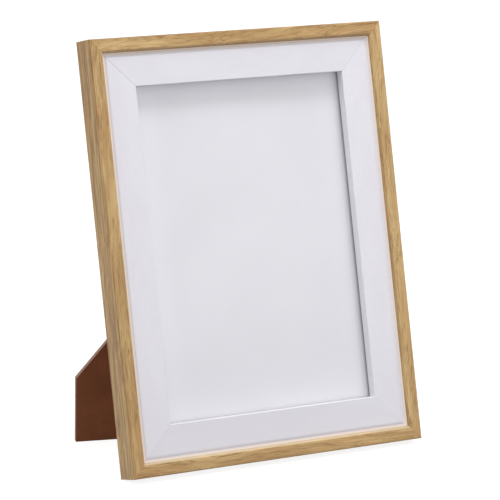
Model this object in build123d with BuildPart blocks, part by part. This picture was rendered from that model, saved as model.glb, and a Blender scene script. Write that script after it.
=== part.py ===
from build123d import *
import os
from math import cos, radians, sin, tan

os.makedirs("parts", exist_ok=True)

# An easel back photo frame, standing. Z is up, the picture faces -Y, and the origin is on the table,
# under the middle of the frame's box. All lengths are in millimetres and all angles in degrees.

# Window that shows the photo
window_width = 125.0
window_height = 175.0

# Oak outer rails
oak_face = 7.5
oak_depth = 14.6
oak_outer_round = 0.8
oak_inner_round = 1.8

# White slip rails inside the oak, set back from its front: a bead along the oak, a shallow groove
# that rises to the face, and a lip before the glass that is undercut behind
slip_face = 18.0
slip_recess = 2.3
slip_bead_width = 0.4
slip_bead_height = 0.9
slip_bead_round = 0.4
slip_groove_setback = 1.15
slip_groove_depth = 0.6
slip_groove_round = 0.4
slip_margin = 2.8
slip_margin_round = 2.0
slip_inner_round = 0.4
slip_lip_undercut = 0.9
rebate_width = 3.5

# Layers in the rebate, from the front
glass_thickness = 2.0
card_thickness = 1.0
board_thickness = 3.0
board_recess = 0.3
layer_clearance = 0.3

# V-nails across the slip's mitres, pressed in from behind
nail_leg_run = 2.2
nail_leg_rise = 3.0
nail_gauge = 0.5
nail_height = 6.0
nail_place_shares = (0.40, 0.78)

# Turn buttons that hold the backing board, and their screws
button_heel_radius = 4.5
button_nose_radius = 2.4
button_reach = 12.0
button_thickness = 1.0
button_edge_round = 0.3
button_lift = 0.2
pivot_setback = 5.5
screw_radius = 1.4
screw_length = 8.5
screw_point = 1.0
screw_head_radius = 3.0
screw_head_height = 1.7
screw_head_round = 0.9
screw_cross_length = 3.4
screw_cross_width = 0.7
screw_cross_depth = 0.9
screw_seat = 0.1
screw_fit = 0.02
swivel_clearance = 0.06

# How the frame stands, and where its strut is hinged, counted from the middle of the back
lean = 11.6
strut_opening = 26.9
hinge_tilt = 33.5
hinge_right = 21.5
hinge_rise = 32.5

# Strut leg
strut_thickness = 3.0
strut_top_half_width = 14.5
strut_taper = 5.1
strut_notch_clearance = 0.4
strut_stop_gap = 0.15

# Hinge between the backing board and the strut
hinge_width = 18.0
hinge_pin_radius = 0.8
hinge_pin_clearance = 0.03
leaf_gauge = 0.8
board_leaf_length = 15.0
strut_leaf_length = 19.0
leaf_corner_round = 2.5
knuckle_count = 5
knuckle_gap = 0.25
knuckle_board_gap = 0.3
knuckle_sweep_gap = 0.35
strut_leaf_gap = 0.5

# Rivets of the hinge and the hangers
rivet_radius = 1.2
rivet_fit = 0.02
rivet_head_radius = 2.3
rivet_head_height = 0.8
rivet_head_round = 0.6
hinge_rivet_spacing = 11.0

# Keyhole hangers: a raised bridge between two riveted feet
hanger_length = 36.0
hanger_width = 15.0
hanger_foot = 7.5
hanger_ramp = 2.5
hanger_standoff = 2.4
hanger_gauge = 0.8
hanger_corner_round = 3.0
keyhole_radius = 3.2
keyhole_slot_radius = 1.6
keyhole_slot_length = 5.2
keyhole_drop = 2.4
hanger_inset = 24.0

# Sizes that follow
outer_width = window_width + 2 * (slip_face + oak_face)
outer_height = window_height + 2 * (slip_face + oak_face)
slip_width = outer_width - 2 * oak_face
slip_height = outer_height - 2 * oak_face
slip_depth = oak_depth - slip_recess
bead_top = slip_depth + slip_bead_height
groove_bottom = slip_depth - slip_groove_depth
pocket_width = window_width + 2 * rebate_width
pocket_height = window_height + 2 * rebate_width
slip_land = slip_face - rebate_width
card_back = board_recess + board_thickness
glass_back = card_back + card_thickness
rebate_depth = glass_back + glass_thickness
knuckle_radius = hinge_pin_radius + hinge_pin_clearance + leaf_gauge
knuckle_length = (hinge_width - (knuckle_count - 1) * knuckle_gap) / knuckle_count
knuckle_sweep = knuckle_radius + knuckle_sweep_gap
pin_standoff = knuckle_radius + knuckle_board_gap
strut_face = pin_standoff - strut_leaf_gap - leaf_gauge
strut_stop_reach = pin_standoff - strut_stop_gap - strut_face * cos(radians(strut_opening))
strut_heel = strut_stop_reach / sin(radians(strut_opening))
strut_notch_half = hinge_width / 2 + strut_notch_clearance
strut_notch_depth = knuckle_radius + strut_notch_clearance

side_turns = {"bottom": 0, "right": 90, "top": 180, "left": 270}


# Places


def turned(plane, about_x=0, about_z=0):
    """The plane turned in its place about its own X or Z."""
    return Plane(plane.location * Rotation(about_x, 0, about_z))


def leaning_back(edge_y):
    """The frame's back with its bottom edge at edge_y: X right, Y up the frame and Z forwards."""
    up_y = sin(radians(lean))
    up_z = cos(radians(lean))
    middle = (0, edge_y + up_y * outer_height / 2, up_z * outer_height / 2)
    return Plane(middle, x_dir=(1, 0, 0), z_dir=(0, -up_z, up_y))


def pin_plane(back):
    """The plane on the hinge pin, X along the pin and Z forwards."""
    centre = back.from_local_coords((hinge_right, hinge_rise, board_recess - pin_standoff))
    return turned(Plane(centre, x_dir=back.x_dir, z_dir=back.z_dir), about_z=-hinge_tilt)


def strut_face_plane(back):
    """The front face of the opened strut, X along the pin and Y up the strut."""
    return turned(pin_plane(back), about_x=strut_opening).offset(strut_face)


def floor_line(face, floor_up, floor_point):
    """The line where a floor crosses a face, as the factors a, b and c of a * x + b * y + c = 0."""
    return face.x_dir.dot(floor_up), face.y_dir.dot(floor_up), (face.origin - floor_point).dot(floor_up)


def crossing(first, second):
    """The point where two such lines cross."""
    a, b, c = first
    d, e, f = second
    slant = a * e - b * d
    return (b * f - c * e) / slant, (c * d - a * f) / slant


def strut_foot(back):
    """The strut's left shoulder, foot corner and right shoulder: its foot stands flat both ways up."""
    face = strut_face_plane(back)
    bottom_edge = back.origin - back.y_dir * outer_height / 2
    left_edge = back.origin - back.x_dir * outer_width / 2
    sideways_up = back.x_dir * cos(radians(lean)) + back.z_dir * sin(radians(lean))
    portrait = floor_line(face, Vector(0, 0, 1), bottom_edge)
    landscape = floor_line(face, sideways_up, left_edge)
    widening = tan(radians(strut_taper))
    left_side = (1, -widening, strut_top_half_width)
    right_side = (1, widening, -strut_top_half_width)
    return crossing(landscape, left_side), crossing(landscape, portrait), crossing(portrait, right_side)


def stand_edge_y():
    """Where the frame's bottom edge stands, so that the origin is under the middle of the box."""
    trial = leaning_back(0)
    strut_back = strut_face_plane(trial).offset(-strut_thickness)
    rearmost = max(strut_back.from_local_coords(point).Y for point in strut_foot(trial))
    round_rise = oak_outer_round - outer_height / 2
    round_centre = trial.from_local_coords((0, round_rise, oak_depth - oak_outer_round))
    foremost = round_centre.Y - oak_outer_round
    return -(rearmost + foremost) / 2


frame_back = leaning_back(stand_edge_y())
board_back = frame_back.offset(board_recess)
pin_at = pin_plane(frame_back)
strut_at = strut_face_plane(frame_back)
strut_rear = strut_at.offset(-strut_thickness)
strut_pin = turned(pin_at, about_x=strut_opening)


def side_sizes(side, width, height):
    """How far apart a side and its opposite are, and how long that side is."""
    return (width, height) if side in ("left", "right") else (height, width)


def across_side(side, width, height):
    """The plane across the middle of one side of a rectangle, X to the window and Y forwards."""
    facing = turned(frame_back, about_z=side_turns[side])
    apart = side_sizes(side, width, height)[0]
    return Plane(facing.origin - facing.y_dir * apart / 2, x_dir=facing.y_dir, z_dir=facing.x_dir)


def pivot_plane(side):
    """The plane on the frame's back at one turn button's screw, Y to the window."""
    facing = turned(frame_back, about_z=side_turns[side])
    apart = side_sizes(side, pocket_width, pocket_height)[0]
    place = facing.origin - facing.y_dir * (apart / 2 + pivot_setback)
    return Plane(place, x_dir=facing.x_dir, z_dir=facing.z_dir)


def hanger_plane(right, rise, turn):
    """The plane on the board's back under one hanger, Y to the end of its slot."""
    place = board_back.from_local_coords((right, rise, 0))
    return turned(Plane(place, x_dir=board_back.x_dir, z_dir=board_back.z_dir), about_z=turn)


pivots = {side: pivot_plane(side) for side in side_turns}
hangers = {
    "portrait_hanger": hanger_plane(0, pocket_height / 2 - hanger_inset, 0),
    "landscape_hanger": hanger_plane(pocket_width / 2 - hanger_inset, 0, -90),
}


def rivet_pair(spacing, y):
    """The places of two rivets side by side."""
    return [(-spacing / 2, y), (spacing / 2, y)]


hanger_rivet_places = rivet_pair(hanger_length - hanger_foot, 0)
board_leaf_rivet_places = rivet_pair(hinge_rivet_spacing, (knuckle_sweep + board_leaf_length) / 2)
strut_leaf_rivet_places = rivet_pair(hinge_rivet_spacing, -(strut_notch_depth + strut_leaf_length) / 2)


# Outer and inner rails


def mitred_rail(section, across, length):
    """A bar of the section, cut at 45 degrees at both ends."""
    with BuildPart() as rail:
        with BuildSketch(across):
            add(section)
        extrude(amount=length / 2, both=True)
        for end in (-1, 1):
            corner = across.origin + across.z_dir * (end * length / 2)
            split(bisect_by=Plane(corner, z_dir=across.x_dir + across.z_dir * end), keep=Keep.BOTTOM)
    return rail.part


with BuildSketch() as oak_section:
    Rectangle(oak_face, oak_depth, align=Align.MIN)
    for corner, round_radius in (
        ((0, oak_depth), oak_outer_round),
        ((oak_face, oak_depth), oak_inner_round),
    ):
        fillet(oak_section.vertices().sort_by_distance(corner)[0], round_radius)

with BuildSketch() as slip_section:
    with BuildLine():
        Polyline(
            (0, 0),
            (0, bead_top),
            (slip_bead_width, bead_top),
            (slip_groove_setback, groove_bottom),
            (slip_margin, slip_depth),
            (slip_face, slip_depth),
            (slip_face, rebate_depth + slip_lip_undercut),
            (slip_face - slip_lip_undercut, rebate_depth),
            (slip_land, rebate_depth),
            (slip_land, 0),
            close=True,
        )
    make_face()
    for corner, round_radius in (
        ((slip_bead_width, bead_top), slip_bead_round),
        ((slip_groove_setback, groove_bottom), slip_groove_round),
        ((slip_margin, slip_depth), slip_margin_round),
        ((slip_face, slip_depth), slip_inner_round),
    ):
        fillet(slip_section.vertices().sort_by_distance(corner)[0], round_radius)

# One V-nail is a chevron with its point on the mitre and a leg in each of the two rails
with BuildPart() as corner_v_nails:
    for right in (-1, 1):
        for up in (-1, 1):
            corner = frame_back.from_local_coords((right * slip_width / 2, up * slip_height / 2, 0))
            inwards = frame_back.x_dir * -right + frame_back.y_dir * -up
            for share in nail_place_shares:
                place = corner + inwards * (slip_land * share)
                with BuildSketch(Plane(place, x_dir=inwards, z_dir=frame_back.z_dir)):
                    with BuildLine():
                        Polyline(
                            (0, 0),
                            (-nail_leg_run, nail_leg_rise),
                            (-nail_leg_run - nail_gauge, nail_leg_rise),
                            (-nail_gauge, 0),
                            (-nail_leg_run - nail_gauge, -nail_leg_rise),
                            (-nail_leg_run, -nail_leg_rise),
                            close=True,
                        )
                    make_face()
                extrude(amount=nail_height)
corner_v_nails.part.label = "corner_v_nails"
export_step(corner_v_nails.part, "parts/corner_v_nails.step")

for side in side_turns:
    oak_rail = mitred_rail(
        oak_section.sketch,
        across_side(side, outer_width, outer_height),
        side_sizes(side, outer_width, outer_height)[1],
    )
    oak_rail.label = f"oak_rail_{side}"
    export_step(oak_rail, f"parts/{oak_rail.label}.step")

    with BuildPart() as slip_rail:
        add(
            mitred_rail(
                slip_section.sketch,
                across_side(side, slip_width, slip_height),
                side_sizes(side, slip_width, slip_height)[1],
            )
        )
        add(corner_v_nails.part, mode=Mode.SUBTRACT)
        with BuildSketch(pivots[side]):
            Circle(screw_radius + screw_fit)
        extrude(amount=screw_length + screw_fit, mode=Mode.SUBTRACT)
    slip_rail.part.label = f"slip_rail_{side}"
    export_step(slip_rail.part, f"parts/{slip_rail.part.label}.step")


# Glass, card and backing board


def layer(back_face, thickness):
    """A sheet that fills the rebate but for its clearance."""
    with BuildPart() as sheet:
        with BuildSketch(back_face):
            Rectangle(pocket_width - 2 * layer_clearance, pocket_height - 2 * layer_clearance)
        extrude(amount=thickness)
    return sheet.part


glass_pane = layer(frame_back.offset(glass_back), glass_thickness)
glass_pane.label = "glass_pane"
export_step(glass_pane, "parts/glass_pane.step")

insert_card = layer(frame_back.offset(card_back), card_thickness)
insert_card.label = "insert_card"
export_step(insert_card, "parts/insert_card.step")

board_rivet_planes = [(pin_at.offset(pin_standoff), board_leaf_rivet_places)]
board_rivet_planes += [(plane, hanger_rivet_places) for plane in hangers.values()]

with BuildPart() as backing_board:
    add(layer(board_back, board_thickness))
    for plane, places in board_rivet_planes:
        with BuildSketch(plane):
            with Locations(*places):
                Circle(rivet_radius + rivet_fit)
        extrude(amount=board_thickness, mode=Mode.SUBTRACT)
backing_board.part.label = "backing_board"
export_step(backing_board.part, "parts/backing_board.step")


# Turn buttons and their screws

for side, pivot in pivots.items():
    with BuildPart() as turn_button:
        with BuildSketch(pivot.offset(-button_lift)):
            Circle(button_heel_radius)
            with Locations((0, button_reach - button_nose_radius)):
                Circle(button_nose_radius)
            make_hull()
        extrude(amount=-button_thickness)
        fillet(turn_button.faces().sort_by(Axis(pivot.origin, pivot.z_dir))[0].edges(), button_edge_round)
        with BuildSketch(pivot):
            Circle(screw_radius + swivel_clearance)
        extrude(amount=-(button_lift + button_thickness), mode=Mode.SUBTRACT)
    turn_button.part.label = f"turn_button_{side}"
    export_step(turn_button.part, f"parts/{turn_button.part.label}.step")


def cross_head_screw(pivot):
    """A screw that goes into the slip through a turn button, with a cross in its round head."""
    head_seat = button_lift + button_thickness + screw_seat
    with BuildPart() as screw:
        with BuildSketch(pivot.offset(-head_seat)):
            Circle(screw_head_radius)
        extrude(amount=-screw_head_height)
        fillet(screw.edges().sort_by(Axis(pivot.origin, pivot.z_dir))[0], screw_head_round)
        with BuildSketch(pivot.offset(-head_seat - screw_head_height)):
            Rectangle(screw_cross_length, screw_cross_width)
            Rectangle(screw_cross_width, screw_cross_length)
        extrude(amount=screw_cross_depth, mode=Mode.SUBTRACT)
        with BuildSketch(pivot.offset(-head_seat)):
            Circle(screw_radius)
        extrude(amount=head_seat + screw_length)
        chamfer(screw.edges().sort_by(Axis(pivot.origin, pivot.z_dir))[-1], screw_point)
    return screw.part


with BuildPart() as turn_button_screws:
    for pivot in pivots.values():
        add(cross_head_screw(pivot))
turn_button_screws.part.label = "turn_button_screws"
export_step(turn_button_screws.part, "parts/turn_button_screws.step")


# Hinge

knuckle_pitch = knuckle_length + knuckle_gap
knuckle_places = [(index - (knuckle_count - 1) / 2) * knuckle_pitch for index in range(knuckle_count)]


def hinge_leaf(pin, face, towards, length, places, rivet_places):
    """A hinge leaf: a plate that lies at face, up (1) or down (-1) from the pin, and its knuckles."""
    across_pin = Plane(pin.origin, x_dir=pin.y_dir, z_dir=pin.x_dir)
    with BuildPart() as leaf:
        with BuildSketch(pin.offset(face)) as plate:
            with Locations((0, towards * (knuckle_sweep + length) / 2)):
                Rectangle(hinge_width, length - knuckle_sweep)
            fillet(plate.vertices().sort_by(Axis.Y, reverse=towards > 0)[:2], leaf_corner_round)
            for place in places:
                with Locations((place, towards * knuckle_sweep / 2)):
                    Rectangle(knuckle_length, knuckle_sweep)
            with Locations(*rivet_places):
                Circle(rivet_radius + rivet_fit, mode=Mode.SUBTRACT)
        extrude(amount=leaf_gauge)
        for place in places:
            with BuildSketch(across_pin.offset(place)):
                Circle(knuckle_radius)
            extrude(amount=knuckle_length / 2, both=True)
        with BuildSketch(across_pin):
            Circle(hinge_pin_radius + hinge_pin_clearance)
        extrude(amount=hinge_width / 2, both=True, mode=Mode.SUBTRACT)
    return leaf.part


hinge_board_leaf = hinge_leaf(
    pin_at, pin_standoff - leaf_gauge, 1, board_leaf_length, knuckle_places[::2], board_leaf_rivet_places
)
hinge_board_leaf.label = "hinge_board_leaf"
export_step(hinge_board_leaf, "parts/hinge_board_leaf.step")

hinge_strut_leaf = hinge_leaf(
    strut_pin, strut_face, -1, strut_leaf_length, knuckle_places[1::2], strut_leaf_rivet_places
)
hinge_strut_leaf.label = "hinge_strut_leaf"
export_step(hinge_strut_leaf, "parts/hinge_strut_leaf.step")

with BuildPart() as hinge_pin:
    with BuildSketch(Plane(pin_at.origin, x_dir=pin_at.y_dir, z_dir=pin_at.x_dir)):
        Circle(hinge_pin_radius)
    extrude(amount=hinge_width / 2, both=True)
hinge_pin.part.label = "hinge_pin"
export_step(hinge_pin.part, "parts/hinge_pin.step")


# Strut leg

left_shoulder, foot_corner, right_shoulder = strut_foot(frame_back)
heel_half_width = strut_top_half_width - strut_heel * tan(radians(strut_taper))

with BuildPart() as strut_leg:
    with BuildSketch(strut_at):
        with BuildLine():
            Polyline(
                (-heel_half_width, strut_heel),
                left_shoulder,
                foot_corner,
                right_shoulder,
                (heel_half_width, strut_heel),
                (strut_notch_half, strut_heel),
                (strut_notch_half, -strut_notch_depth),
                (-strut_notch_half, -strut_notch_depth),
                (-strut_notch_half, strut_heel),
                close=True,
            )
        make_face()
        with Locations(*strut_leaf_rivet_places):
            Circle(rivet_radius + rivet_fit, mode=Mode.SUBTRACT)
    extrude(amount=-strut_thickness)
strut_leg.part.label = "strut_leg"
export_step(strut_leg.part, "parts/strut_leg.step")


# Keyhole hangers


def keyhole_hanger(plane):
    """A raised bridge with a keyhole in it, between two feet on the board."""
    foot_end = hanger_length / 2 - hanger_foot
    bridge_end = foot_end - hanger_ramp
    near_side = [
        (-hanger_length / 2, 0),
        (-foot_end, 0),
        (-bridge_end, hanger_standoff),
        (bridge_end, hanger_standoff),
        (foot_end, 0),
        (hanger_length / 2, 0),
    ]
    far_side = [(x, y + hanger_gauge) for x, y in reversed(near_side)]
    with BuildPart() as hanger:
        with BuildSketch(Plane(plane.origin, x_dir=plane.x_dir, z_dir=plane.y_dir)):
            with BuildLine():
                Polyline(*near_side, *far_side, close=True)
            make_face()
        extrude(amount=hanger_width / 2, both=True)
        fillet(hanger.edges().filter_by(Axis(plane.origin, plane.z_dir)), hanger_corner_round)
        with BuildSketch(plane):
            with Locations((0, -keyhole_drop)):
                Circle(keyhole_radius)
            with Locations((0, keyhole_slot_length / 2 - keyhole_drop)):
                Rectangle(2 * keyhole_slot_radius, keyhole_slot_length)
            with Locations((0, keyhole_slot_length - keyhole_drop)):
                Circle(keyhole_slot_radius)
            with Locations(*hanger_rivet_places):
                Circle(rivet_radius + rivet_fit)
        extrude(amount=-(hanger_standoff + hanger_gauge), mode=Mode.SUBTRACT)
    return hanger.part


for name, plane in hangers.items():
    hanger = keyhole_hanger(plane)
    hanger.label = name
    export_step(hanger, f"parts/{name}.step")


# Rivets


def rivets(head_seat, places, grip):
    """Round-headed rivets that stand on a face and go forwards through what they hold."""
    with BuildPart() as group:
        with BuildSketch(head_seat):
            with Locations(*places):
                Circle(rivet_head_radius)
        extrude(amount=-rivet_head_height)
        fillet(group.edges().group_by(Axis(head_seat.origin, head_seat.z_dir))[0], rivet_head_round)
        with BuildSketch(head_seat):
            with Locations(*places):
                Circle(rivet_radius)
        extrude(amount=grip)
    return group.part


board_leaf_rivets = rivets(
    pin_at.offset(pin_standoff - leaf_gauge), board_leaf_rivet_places, leaf_gauge + board_thickness
)
board_leaf_rivets.label = "board_leaf_rivets"
export_step(board_leaf_rivets, "parts/board_leaf_rivets.step")

strut_leaf_rivets = rivets(strut_rear, strut_leaf_rivet_places, strut_thickness + leaf_gauge)
strut_leaf_rivets.label = "strut_leaf_rivets"
export_step(strut_leaf_rivets, "parts/strut_leaf_rivets.step")

with BuildPart() as hanger_rivets:
    for plane in hangers.values():
        add(rivets(plane.offset(-hanger_gauge), hanger_rivet_places, hanger_gauge + board_thickness))
hanger_rivets.part.label = "hanger_rivets"
export_step(hanger_rivets.part, "parts/hanger_rivets.step")
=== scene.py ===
import math

import bpy
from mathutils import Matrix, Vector


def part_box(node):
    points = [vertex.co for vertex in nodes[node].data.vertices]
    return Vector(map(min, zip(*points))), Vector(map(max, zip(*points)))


# Looks of an easel back photo frame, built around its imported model. Lengths are in metres, and the
# sizes that end in _mm are in millimetres, as in the frame's own directions: x right, v up the frame
# and n forwards from the middle of its back.

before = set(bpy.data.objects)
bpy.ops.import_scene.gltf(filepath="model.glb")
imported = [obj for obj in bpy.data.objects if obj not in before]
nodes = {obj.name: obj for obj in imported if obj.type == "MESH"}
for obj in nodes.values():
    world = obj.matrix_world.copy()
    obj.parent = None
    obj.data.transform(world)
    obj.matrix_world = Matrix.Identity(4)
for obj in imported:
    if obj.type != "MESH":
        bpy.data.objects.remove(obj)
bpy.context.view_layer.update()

MM = 0.001
LEAN = math.radians(11.6)
RIGHT = Vector((1.0, 0.0, 0.0))
UP = Vector((0.0, math.sin(LEAN), math.cos(LEAN)))
FORWARDS = Vector((0.0, -math.cos(LEAN), math.sin(LEAN)))
GLASS_MIDDLE_mm = 5.3
glass_low, glass_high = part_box("glass_pane")
BACK_MIDDLE = (glass_low + glass_high) / 2 - FORWARDS * (GLASS_MIDDLE_mm * MM)

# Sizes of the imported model. OAK_FACE_mm, REBATE_EDGE_mm and SLIP_EDGE_mm count in from the outer edge,
# and REBATE_DEPTH_mm and FOIL_END_mm forwards from the back.
HALF_WIDTH_mm = 88.0
HALF_HEIGHT_mm = 113.0
OAK_FACE_mm = 7.5
SLIP_EDGE_mm = OAK_FACE_mm + 18.0
REBATE_EDGE_mm = SLIP_EDGE_mm - 3.5
REBATE_DEPTH_mm = 6.3
LIP_UNDERCUT_mm = 0.9
FOIL_END_mm = REBATE_DEPTH_mm + LIP_UNDERCUT_mm

# Where soft steps of colour begin and end
OAK_ROUND_mm = (0.1, 0.8)
OAK_EDGE_LIGHT_mm = (OAK_FACE_mm - 1.3, OAK_FACE_mm - 0.7)
SLIP_CONTACT_SHADE_mm = (OAK_FACE_mm + 0.15, OAK_FACE_mm + 0.45)
SLIP_GROOVE_SHADE_mm = (OAK_FACE_mm + 2.0, OAK_FACE_mm + 2.6)
SLIP_ARRIS_mm = (SLIP_EDGE_mm - 0.3, SLIP_EDGE_mm - 0.05)
BEAD_BLUR_mm = (-0.7, 0.5)
BARE_BACK_mm = (0.02, 0.10)
BACK_SEAM_mm = (0.08, 0.30)
MITRE_mm = (0.07, 0.28)
CARD_LEFT_LIGHT_mm = (-59.0, -43.0)
CARD_RIGHT_LIGHT_mm = (44.0, 56.0)
CARD_RIGHT_LIGHT_END_mm = (56.0, 61.0)
CARD_LOW_SHADE_mm = (-64.0, -35.0)
NOISE_MIDDLE = (0.3, 0.7)

# How far the grain wanders across the oak's face and into its depth
GRAIN_WANDER_mm = 7.0
GRAIN_DEPTH_WANDER_mm = 5.0

# How far the mitre lines show: at the front corners, by (right, up), and on the back
OAK_MITRES = {(-1, 1): 0.16, (1, 1): 0.08, (-1, -1): 0.14, (1, -1): 0.08}
SLIP_MITRES = {(-1, 1): 0.50, (1, 1): 0.22, (-1, -1): 0.16, (1, -1): 0.06}
REAR_MITRES = 0.6

SIDES = ("top", "bottom", "left", "right")


def place(x, v, n):
    """The point at these millimetres along the frame's own directions."""
    return BACK_MIDDLE + (RIGHT * x + UP * v + FORWARDS * n) * MM


# Materials


def linear(red, green, blue):
    """A colour given as eight-bit display values, as the shaders take it."""
    shares = (value / 255 for value in (red, green, blue))
    return (*(s / 12.92 if s <= 0.04045 else ((s + 0.055) / 1.055) ** 2.4 for s in shares), 1.0)


def grey(share):
    """A grey that gives back this share of the light."""
    return (share, share, share, 1.0)


class Graph:
    """A node tree whose nodes are added one by one."""

    def __init__(self, tree):
        self.tree = tree

    def feed(self, socket, value):
        """Links a socket to an output, or sets it to a value."""
        if isinstance(value, bpy.types.NodeSocket):
            self.tree.links.new(value, socket)
        else:
            socket.default_value = value

    def add(self, kind, inputs, **settings):
        node = self.tree.nodes.new(kind)
        for name, value in settings.items():
            setattr(node, name, value)
        for name, value in inputs.items():
            self.feed(node.inputs[name], value)
        return node

    def math(self, operation, first, second=0.0, third=0.0):
        inputs = {0: first, 1: second, 2: third}
        return self.add("ShaderNodeMath", inputs, operation=operation).outputs[0]

    def noise(self, vector, scale=1.0, detail=2.0, roughness=0.5):
        inputs = {"Vector": vector, "Scale": scale, "Detail": detail, "Roughness": roughness}
        return self.add("ShaderNodeTexNoise", inputs).outputs["Fac"]

    def smooth(self, value, low, high, to_low=0.0, to_high=1.0):
        """A soft step as value goes from low to high."""
        inputs = {
            "Value": value,
            "From Min": low,
            "From Max": high,
            "To Min": to_low,
            "To Max": to_high,
        }
        node = self.add("ShaderNodeMapRange", inputs, interpolation_type="SMOOTHSTEP")
        return node.outputs["Result"]

    def spread(self, noise, to_low=0.0, to_high=1.0):
        """A noise with its middle values spread over the whole range."""
        return self.smooth(noise, *NOISE_MIDDLE, to_low, to_high)

    def stretch(self, vector, scales, shift=(0.0, 0.0, 0.0)):
        inputs = {"Vector": vector, "Location": shift, "Scale": scales}
        return self.add("ShaderNodeMapping", inputs).outputs["Vector"]

    def mix(self, share, first, second):
        inputs = {0: share, 6: first, 7: second}
        return self.add("ShaderNodeMix", inputs, data_type="RGBA").outputs[2]

    def combine(self, x, y, z):
        return self.add("ShaderNodeCombineXYZ", {"X": x, "Y": y, "Z": z}).outputs["Vector"]

    def dot(self, vector, direction):
        inputs = {0: vector, 1: direction}
        return self.add("ShaderNodeVectorMath", inputs, operation="DOT_PRODUCT").outputs["Value"]

    def bump(self, height, strength, depth_mm):
        inputs = {"Height": height, "Strength": strength, "Distance": depth_mm * MM}
        return self.add("ShaderNodeBump", inputs).outputs["Normal"]

    def coordinates(self):
        return self.add("ShaderNodeTexCoord", {}).outputs

    def object_mm(self):
        """The piece's own coordinates in millimetres."""
        return self.stretch(self.coordinates()["Object"], (1 / MM,) * 3)

    def frame_mm(self):
        """Millimetres along the frame's own directions, as the outputs x, v and n."""
        inputs = {0: self.coordinates()["Object"], 1: BACK_MIDDLE}
        from_back = self.add("ShaderNodeVectorMath", inputs, operation="SUBTRACT").outputs[0]
        return [self.dot(from_back, direction / MM) for direction in (RIGHT, UP, FORWARDS)]

    def facing(self, direction):
        """How far the surface faces a direction of the piece's own: 1 towards it and -1 away."""
        return self.dot(self.coordinates()["Normal"], direction)

    def in_sight(self):
        """1 for what the camera sees, straight on, mirrored or through glass, and 0 for lighting."""
        path = self.add("ShaderNodeLightPath", {}).outputs
        in_front = self.math("MAXIMUM", path["Is Camera Ray"], path["Is Glossy Ray"])
        return self.math("MAXIMUM", in_front, path["Is Transmission Ray"])


class Material(Graph):
    """A material with one principled shader."""

    def __init__(self, name):
        self.material = bpy.data.materials.new(name)
        self.material.use_nodes = True
        super().__init__(self.material.node_tree)
        self.shader = self.tree.nodes["Principled BSDF"]

    def finish(self, **inputs):
        """Sets the shader's own sockets, whose names have underscores here for their spaces."""
        for name, value in inputs.items():
            self.feed(self.shader.inputs[name.replace("_", " ")], value)
        return self.material


def dress(names, material):
    """Gives these nodes the material in all their slots."""
    for name in names:
        mesh = nodes[name].data
        mesh.materials.clear()
        mesh.materials.append(material)


def from_edge(g, half_mm, across):
    """Millimetres in from the outer edge, which is half_mm from the middle on both sides."""
    return g.math("SUBTRACT", half_mm, g.math("ABSOLUTE", across))


def rail_directions(g, side):
    """Along the rail, in from its outer edge, and forwards, in millimetres."""
    x, v, n = g.frame_mm()
    if side in ("left", "right"):
        return v, from_edge(g, HALF_WIDTH_mm, x), n
    return x, from_edge(g, HALF_HEIGHT_mm, v), n


def behind(g, forwards):
    """1 on the back of a rail, where it is bare."""
    return g.smooth(forwards, *BARE_BACK_mm, 1.0, 0.0)


def mitre_line(g, shares, forwards):
    """How far the line shows where two rails meet, given at the front corners by (right, up)."""
    x, v, _ = g.frame_mm()
    from_side = from_edge(g, HALF_WIDTH_mm, x)
    from_end = from_edge(g, HALF_HEIGHT_mm, v)
    apart = g.math("ABSOLUTE", g.math("SUBTRACT", from_side, from_end))
    line = g.smooth(apart, *MITRE_mm, 1.0, 0.0)
    right = g.smooth(x, -1.0, 1.0)
    up = g.smooth(v, -1.0, 1.0)
    low = g.smooth(right, 0.0, 1.0, shares[-1, -1], shares[1, -1])
    high = g.smooth(right, 0.0, 1.0, shares[-1, 1], shares[1, 1])
    front = g.math("MULTIPLY_ADD", up, g.math("SUBTRACT", high, low), low)
    rear = g.math("MULTIPLY", behind(g, forwards), REAR_MITRES)
    return g.math("MULTIPLY", line, g.math("MAXIMUM", front, rear))


def raw_board(g, wood, inwards):
    """The colour of bare fibreboard on the back of the rails, with the dark joint between oak and slip.
    """
    fibre = g.noise(g.stretch(wood, (1.1, 1.6, 1.6)), detail=4.0, roughness=0.7)
    stain = g.noise(g.stretch(wood, (0.02, 0.06, 0.06)), detail=3.0, roughness=0.6)
    felt = g.mix(g.spread(fibre), linear(150, 118, 82), linear(184, 153, 114))
    aged = g.mix(g.smooth(stain, 0.45, 0.75, 0.0, 0.35), felt, linear(136, 103, 68))
    apart = g.math("ABSOLUTE", g.math("SUBTRACT", inwards, OAK_FACE_mm))
    return g.mix(g.smooth(apart, *BACK_SEAM_mm, 0.65, 0.0), aged, linear(84, 62, 42))


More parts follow.
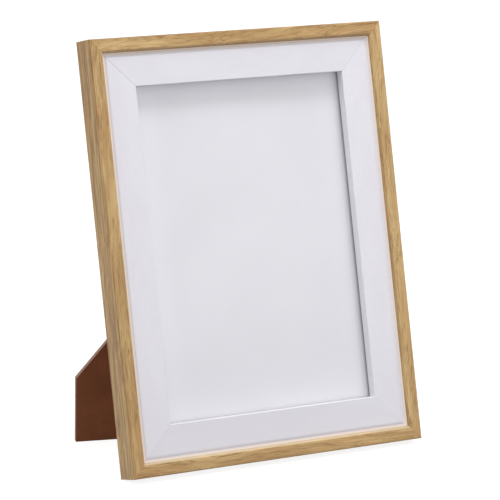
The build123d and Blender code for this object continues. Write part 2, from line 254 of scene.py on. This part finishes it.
def oak_foil(side, seed, lift, drift, slant, edge_share, edge_colour):
    """Satin oak foil with its grain along one rail, banded on the outer side, and bare board behind.

    lift brightens the whole rail, and drift brightens it with each millimetre along.
    """
    g = Material(f"oak_foil_{side}")
    along, inwards, forwards = rail_directions(g, side)
    wood = g.combine(along, inwards, forwards)
    beside = g.smooth(inwards, *OAK_ROUND_mm, 1.0, 0.0)
    a, b, c = seed * 137.0, seed * 31.0, seed * 17.0

    # Grain that slants and wanders off the rail's direction
    wander = g.noise(g.stretch(wood, (0.022, 0.05, 0.05), (a, b, c)))
    across = g.math("MULTIPLY_ADD", wander, GRAIN_WANDER_mm, inwards)
    deep = g.math("MULTIPLY_ADD", wander, GRAIN_DEPTH_WANDER_mm, forwards)
    slanted = (g.math("MULTIPLY_ADD", along, slant, straight) for straight in (across, deep))
    bent = g.combine(along, *slanted)
    tone = g.noise(g.stretch(bent, (0.018, 0.13, 0.13), (a, b, c)))
    streak = g.noise(g.stretch(bent, (0.035, 0.75, 0.75), (a, b, c)), detail=3.0, roughness=0.62)
    pale = g.noise(g.stretch(bent, (0.045, 1.0, 1.0), (b, a, 3.0)))
    pore = g.noise(g.stretch(bent, (0.08, 2.2, 2.2), (a, b, c)), roughness=0.6)
    cluster = g.noise(g.stretch(bent, (0.03, 0.35, 0.35), (a, b, c)), detail=1.0)
    fleck = g.math("MULTIPLY", g.smooth(pore, 0.48, 0.66), g.smooth(cluster, 0.30, 0.60))
    ruddy = g.noise(g.stretch(bent, (0.03, 0.3, 0.3), (c, a, b)))

    # Tone along the rail, which goes the other way and is mottled on the outer side
    turn = g.math("MULTIPLY_ADD", beside, -2.0, 1.0)
    drifted = g.math("MULTIPLY_ADD", g.math("MULTIPLY", along, turn), drift, lift)
    blotch = g.noise(g.stretch(wood, (0.04, 0.22, 0.22), (a, b, c)), detail=3.0, roughness=0.6)
    mottle = g.math("MULTIPLY", g.math("SUBTRACT", blotch, 0.62), 1.5)
    level = g.math("ADD", tone, g.math("MULTIPLY_ADD", mottle, beside, drifted))

    # Colours of the grain, with more contrast on the outer side
    contrast = g.math("MULTIPLY_ADD", beside, 0.28, 0.58)
    base = g.mix(g.smooth(level, 0.25, 0.75), linear(174, 139, 87), linear(206, 174, 120))
    warm = g.mix(g.smooth(ruddy, 0.45, 0.70, 0.0, 0.45), base, linear(186, 140, 88))
    lines = g.math("MULTIPLY", g.smooth(streak, 0.48, 0.70), contrast)
    grained = g.mix(lines, warm, linear(146, 107, 62))
    lifted = g.mix(g.smooth(pale, 0.54, 0.74, 0.0, 0.50), grained, linear(216, 185, 132))
    flecked = g.mix(g.math("MULTIPLY", fleck, 0.70), lifted, linear(122, 85, 46))

    # Bands on the outer side, and painted shade that darkens that side
    band = g.noise(g.stretch(bent, (0.012, 0.55, 0.55), (c, b, a)), detail=3.0)
    dark_band = g.math("MULTIPLY", g.smooth(band, 0.50, 0.62, 0.0, 0.55), beside)
    pale_band = g.math("MULTIPLY", g.smooth(band, 0.36, 0.50, 0.55, 0.0), beside)
    darkened = g.mix(dark_band, flecked, linear(126, 92, 58))
    banded = g.mix(pale_band, darkened, linear(204, 174, 112))
    # Painted shade: the outer side is made darker than the front
    side_shaded = g.mix(g.math("MULTIPLY", beside, 0.12), banded, linear(112, 80, 54))

    # Inner edge, with a painted highlight on the bottom and left rails and painted shade on the top and
    # right rails, then back and mitres
    edge_lit = g.mix(g.smooth(inwards, *OAK_EDGE_LIGHT_mm, 0.0, edge_share), side_shaded, edge_colour)
    backed = g.mix(behind(g, forwards), edge_lit, raw_board(g, wood, inwards))
    colour = g.mix(mitre_line(g, OAK_MITRES, forwards), backed, linear(96, 70, 44))

    height = g.math("SUBTRACT", g.math("MULTIPLY", tone, 0.3), fleck)
    return g.finish(
        Base_Color=colour,
        Roughness=g.spread(streak, 0.21, 0.28),
        Normal=g.bump(height, 0.25, 0.04),
        Specular_IOR_Level=g.smooth(inwards, *OAK_ROUND_mm, 0.2, 0.5),
    )


def white_foil(
    side, seed, tone, groove_shade, bead_mm, bead_bounce_colour,
    contact_shade=0.0, painted_falloff=(0.0, 1.0, 0.0), arris_highlight=0.0, bare_rebate_lip_shade=0.0,
):
    """Satin white foil on one slip rail, with painted warm light from the oak on its bead, and bare
    board behind.

    painted_falloff gives where the rail begins and ends to grow darker along its length, and how
    far: a painted shade. The foil also lines the rebate, unless bare_rebate_lip_shade is 1: then it
    ends in a dark grey line under the lip, bare board painted dark as shade.
    """
    g = Material(f"white_foil_{side}")
    along, inwards, forwards = rail_directions(g, side)
    wood = g.combine(along, inwards, forwards)
    shift = (seed * 91.0, seed * 13.0, seed * 7.0)
    cloud = g.noise(g.stretch(wood, (0.05, 0.12, 0.12), shift), detail=3.0, roughness=0.6)
    skin = g.noise(g.stretch(wood, (0.5, 1.5, 1.5), shift), detail=3.0, roughness=0.6)

    # Face, lifted or lowered on each rail by tone, a painted light level
    dim = linear(223 + tone, 221 + tone, 228 + tone)
    bright = linear(225 + tone, 224 + tone, 230 + tone)
    base = g.mix(g.spread(cloud), dim, bright)
    # Painted shade: darker towards one end of the rail
    falloff_start, falloff_end, falloff_share = painted_falloff
    with_falloff = g.mix(g.smooth(along, falloff_start, falloff_end, 0.0, falloff_share), base, linear(208, 205, 212))
    speckled = g.mix(g.smooth(skin, 0.35, 0.75, 0.0, 0.35), with_falloff, linear(215, 213, 220))

    # Painted shade in the groove beside the oak, painted warm light from the oak on the bead, a painted
    # contact shadow at the oak, and a painted highlight on the arris at the window
    groove_shade_mask = g.math("MULTIPLY", g.smooth(inwards, *SLIP_GROOVE_SHADE_mm, 1.0, 0.0), groove_shade)
    shaded = g.mix(groove_shade_mask, speckled, linear(204, 199, 205))
    # Painted warm light bounced from the oak, reaching bead_mm in from the oak's face
    bead_start, bead_end = (OAK_FACE_mm + bead_mm + blur for blur in BEAD_BLUR_mm)
    beaded = g.mix(g.smooth(inwards, bead_start, bead_end, 1.0, 0.0), shaded, bead_bounce_colour)
    # Painted contact shadow where the slip meets the oak, on the top and right rails
    contact_shaded = g.mix(g.smooth(inwards, *SLIP_CONTACT_SHADE_mm, contact_shade, 0.0), beaded, linear(112, 90, 62))
    # Painted highlight along the arris at the window, on the bottom rail
    arris_lit = g.mix(g.smooth(inwards, *SLIP_ARRIS_mm, 0.0, arris_highlight), contact_shaded, linear(246, 245, 248))

    # Rebate, back and mitres, with painted shade under the lip where the rebate is bare
    within = g.smooth(inwards, REBATE_EDGE_mm - 0.1, REBATE_EDGE_mm, 0.0, bare_rebate_lip_shade)
    under_lip_shade = g.math("MULTIPLY", within, g.smooth(forwards, FOIL_END_mm - 0.1, FOIL_END_mm, 1.0, 0.0))
    # Painted shade: the bare board under the lip is a dark neutral grey
    ended = g.mix(under_lip_shade, arris_lit, linear(88, 86, 90))
    in_rebate = g.smooth(forwards, REBATE_DEPTH_mm - 0.1, REBATE_DEPTH_mm, 1.0, 0.0)
    raw = g.math("MAXIMUM", behind(g, forwards), g.math("MULTIPLY", within, in_rebate))
    backed = g.mix(raw, ended, raw_board(g, wood, inwards))
    colour = g.mix(mitre_line(g, SLIP_MITRES, forwards), backed, linear(120, 112, 114))

    rough = g.spread(skin, 0.38, 0.48)
    return g.finish(Base_Color=colour, Roughness=rough, Normal=g.bump(skin, 0.10, 0.03))


# Inner-edge colours of the oak: painted shade on the top and right rails, painted highlight on the
# bottom and left rails
PAINTED_EDGE_SHADE = linear(104, 76, 38)
PAINTED_EDGE_HIGHLIGHT = linear(230, 216, 186)
OAK_LOOKS = {
    "top": dict(lift=-0.10, drift=0.0, slant=0.09, edge_share=0.30, edge_colour=PAINTED_EDGE_SHADE),
    "bottom": dict(lift=-0.04, drift=0.0, slant=0.03, edge_share=0.45, edge_colour=PAINTED_EDGE_HIGHLIGHT),
    "left": dict(lift=-0.06, drift=0.0013, slant=-0.04, edge_share=0.10, edge_colour=PAINTED_EDGE_HIGHLIGHT),
    "right": dict(lift=0.08, drift=0.0009, slant=0.05, edge_share=0.30, edge_colour=PAINTED_EDGE_SHADE),
}
# tone is painted light and shade: the bottom rail is painted darker and the right rail lighter
SLIP_LOOKS = {
    "top": dict(
        tone=-3, groove_shade=1.0, bead_mm=1.3, bead_bounce_colour=linear(228, 210, 194),
        contact_shade=0.55,
    ),
    "bottom": dict(
        tone=-6, groove_shade=0.9, bead_mm=1.2, bead_bounce_colour=linear(220, 203, 186),
        painted_falloff=(55.0, 15.0, 0.28), arris_highlight=0.7,
    ),
    "left": dict(
        tone=-1, groove_shade=1.0, bead_mm=1.6, bead_bounce_colour=linear(230, 213, 196),
        painted_falloff=(-30.0, -95.0, 0.22),
    ),
    "right": dict(
        tone=1, groove_shade=0.1, bead_mm=1.0, bead_bounce_colour=linear(232, 216, 200),
        contact_shade=0.55, painted_falloff=(-45.0, -95.0, 0.20), bare_rebate_lip_shade=1.0,
    ),
}

for number, side in enumerate(SIDES, start=1):
    dress([f"oak_rail_{side}"], oak_foil(side, number, **OAK_LOOKS[side]))
    dress([f"slip_rail_{side}"], white_foil(side, number, **SLIP_LOOKS[side]))


def clear_glass():
    """Clear float glass that lets lamps through, with the faintest haze in it."""
    g = Material("clear_glass")
    haze = g.noise(g.object_mm(), scale=0.03, detail=3.0)
    tint = g.mix(g.spread(haze), grey(0.985), grey(0.995))
    g.finish(Base_Color=tint, Roughness=0.0, IOR=1.5, Transmission_Weight=1.0)
    path = g.add("ShaderNodeLightPath", {}).outputs
    lamps = g.math("MAXIMUM", path["Is Shadow Ray"], path["Is Diffuse Ray"])
    clear = g.add("ShaderNodeBsdfTransparent", {"Color": grey(0.98)})
    both = g.add("ShaderNodeMixShader", {0: lamps, 1: g.shader.outputs[0], 2: clear.outputs[0]})
    g.feed(g.tree.nodes["Material Output"].inputs["Surface"], both.outputs[0])
    return g.material


def white_card():
    """Blank matte card with paper fibres, with painted light near its sides and painted shade low down.
    """
    g = Material("white_card")
    paper = g.object_mm()
    fibre = g.noise(paper, scale=1.6, detail=5.0, roughness=0.65)
    cloud = g.noise(paper, scale=0.02)
    base = g.mix(g.spread(cloud), linear(224, 223, 229), linear(228, 227, 233))
    x, v, _ = g.frame_mm()
    # Painted light near the left and right sides, and painted shade low down
    left_light = g.smooth(x, *CARD_LEFT_LIGHT_mm, 1.0, 0.0)
    short_of_right = g.smooth(x, *CARD_RIGHT_LIGHT_END_mm, 1.0, 0.0)
    right_light = g.math("MULTIPLY", g.smooth(x, *CARD_RIGHT_LIGHT_mm, 0.0, 0.45), short_of_right)
    pale = g.mix(g.math("MAXIMUM", left_light, right_light), base, linear(233, 232, 238))
    low_shaded = g.mix(g.smooth(v, *CARD_LOW_SHADE_mm, 0.25, 0.0), pale, linear(212, 211, 217))
    colour = g.mix(g.smooth(fibre, 0.35, 0.75, 0.0, 0.2), low_shaded, linear(219, 218, 224))
    return g.finish(Base_Color=colour, Roughness=0.85, Normal=g.bump(fibre, 0.04, 0.05))


def hardboard(name, face):
    """Brown hardboard: a smooth pressed face, fine fibres and paler raw edges."""
    g = Material(name)
    board = g.object_mm()
    fibre = g.noise(board, scale=2.2, detail=5.0, roughness=0.7)
    cloud = g.noise(board, scale=0.09, detail=4.0, roughness=0.6)
    speck = g.noise(board, scale=1.1)
    base = g.mix(g.spread(cloud), linear(125, 72, 43), linear(140, 83, 50))
    felted = g.mix(g.smooth(fibre, 0.4, 0.75, 0.0, 0.5), base, linear(102, 58, 34))
    specked = g.mix(g.smooth(speck, 0.66, 0.74, 0.0, 0.4), felted, linear(148, 100, 72))
    raw = g.mix(g.spread(fibre), linear(126, 96, 84), linear(154, 122, 108))
    edge = g.smooth(g.math("ABSOLUTE", g.facing(face)), 0.55, 0.8, 1.0, 0.0)
    return g.finish(
        Base_Color=g.mix(edge, specked, raw),
        Roughness=g.spread(fibre, 0.50, 0.68),
        Normal=g.bump(fibre, 0.2, 0.06),
        Specular_IOR_Level=0.25,
    )


def plated_steel(name, tint, shade):
    """Plated sheet steel with fine rolling marks and a cloudy sheen."""
    g = Material(name)
    metal = g.object_mm()
    cloud = g.noise(metal, scale=0.5, detail=4.0, roughness=0.6)
    mark = g.noise(g.stretch(metal, (0.9, 14.0, 14.0)))
    colour = g.mix(g.smooth(cloud, 0.25, 0.75), tint, shade)
    sheen = g.smooth(cloud, 0.25, 0.75, 0.26, 0.32)
    rough = g.math("ADD", sheen, g.math("MULTIPLY", mark, 0.12))
    return g.finish(Base_Color=colour, Metallic=1.0, Roughness=rough, Normal=g.bump(mark, 0.10, 0.03))


def main_face(name):
    """The direction that the largest face of a node looks."""
    return max(nodes[name].data.polygons, key=lambda polygon: polygon.area).normal.copy()


dress(["glass_pane"], clear_glass())
dress(["insert_card"], white_card())
dress(["backing_board"], hardboard("board_hardboard", main_face("backing_board")))
dress(["strut_leg"], hardboard("strut_hardboard", main_face("strut_leg")))

SHEET_METAL = [f"turn_button_{side}" for side in SIDES]
SHEET_METAL += ["hinge_board_leaf", "hinge_strut_leaf", "hinge_pin"]
SHEET_METAL += ["portrait_hanger", "landscape_hanger"]
dress(SHEET_METAL, plated_steel("zinc_plate", linear(176, 177, 176), linear(164, 166, 168)))

FASTENERS = ["turn_button_screws", "corner_v_nails"]
FASTENERS += ["board_leaf_rivets", "strut_leaf_rivets", "hanger_rivets"]
dress(FASTENERS, plated_steel("nickel_plate", linear(166, 163, 156), linear(152, 150, 145)))


# Floor, light and camera

WHITE = grey(1.0)
FLOOR_REACH = 3.0
FLOOR_GREYS = (grey(0.25), grey(0.27))
FLOOR_GLOW = 0.86
WORLD_LIGHT = 0.88
WORLD_IN_SIGHT = 1.0
OBJECT_MIDDLE = (0.0, 0.0, 0.11)
EYE_mm = (-810.596, 8.784, 1414.138)
AIM_mm = (-4.867, -2.482, 11.824)
FOCAL_px = 3085.55
IMAGE_px = 500
SENSOR_mm = 36.0


def white_floor():
    """A floor that keeps the object's shadow and shows as white to the camera."""
    g = Material("floor_white")
    speck = g.noise(g.object_mm(), scale=0.02)
    return g.finish(
        Base_Color=g.mix(g.spread(speck), *FLOOR_GREYS),
        Roughness=0.9,
        Emission_Color=WHITE,
        Emission_Strength=g.math("MULTIPLY", g.in_sight(), FLOOR_GLOW),
    )


mesh = bpy.data.meshes.new("floor")
corners = [(x * FLOOR_REACH, y * FLOOR_REACH, 0.0) for x, y in ((-1, -1), (1, -1), (1, 1), (-1, 1))]
mesh.from_pydata(corners, [], [(0, 1, 2, 3)])
mesh.materials.append(white_floor())
floor = bpy.data.objects.new("floor", mesh)
bpy.context.scene.collection.objects.link(floor)

world = bpy.data.worlds.new("studio")
bpy.context.scene.world = world
world.use_nodes = True
sky = Graph(world.node_tree)
background = sky.tree.nodes["Background"]
sky.feed(background.inputs["Color"], WHITE)
strength = sky.smooth(sky.in_sight(), 0.0, 1.0, WORLD_LIGHT, WORLD_IN_SIGHT)
sky.feed(background.inputs["Strength"], strength)


def stand(name, data, spot, aim):
    """Puts a lamp or camera at a spot, turned to its aim."""
    holder = bpy.data.objects.new(name, data)
    holder.location = spot
    holder.rotation_mode = "QUATERNION"
    holder.rotation_quaternion = (Vector(aim) - Vector(spot)).to_track_quat("-Z", "Y")
    bpy.context.scene.collection.objects.link(holder)
    return holder


def softbox(name, spot, width, height, watts):
    """An area lamp at a spot, turned to the middle of the object."""
    lamp = bpy.data.lights.new(name, "AREA")
    lamp.shape = "RECTANGLE"
    lamp.size = width
    lamp.size_y = height
    lamp.energy = watts
    return stand(name, lamp, spot, OBJECT_MIDDLE)


softbox("overhead", (0.114, -0.244, 0.937), 0.24, 0.24, 2.4)
softbox("left fill", (-1.039, 0.0, 0.71), 0.42, 0.42, 3.0)
front_fill = softbox("front fill", (0.0, -1.482, 0.32), 0.60, 0.36, 3.9)
front_fill.visible_glossy = False  # seen from the front, the glass would mirror it

camera = bpy.data.cameras.new("camera")
camera.sensor_width = SENSOR_mm
camera.lens = FOCAL_px * SENSOR_mm / IMAGE_px
bpy.context.scene.camera = stand("camera", camera, place(*EYE_mm), place(*AIM_mm))
bpy.context.scene.view_settings.view_transform = "Standard"
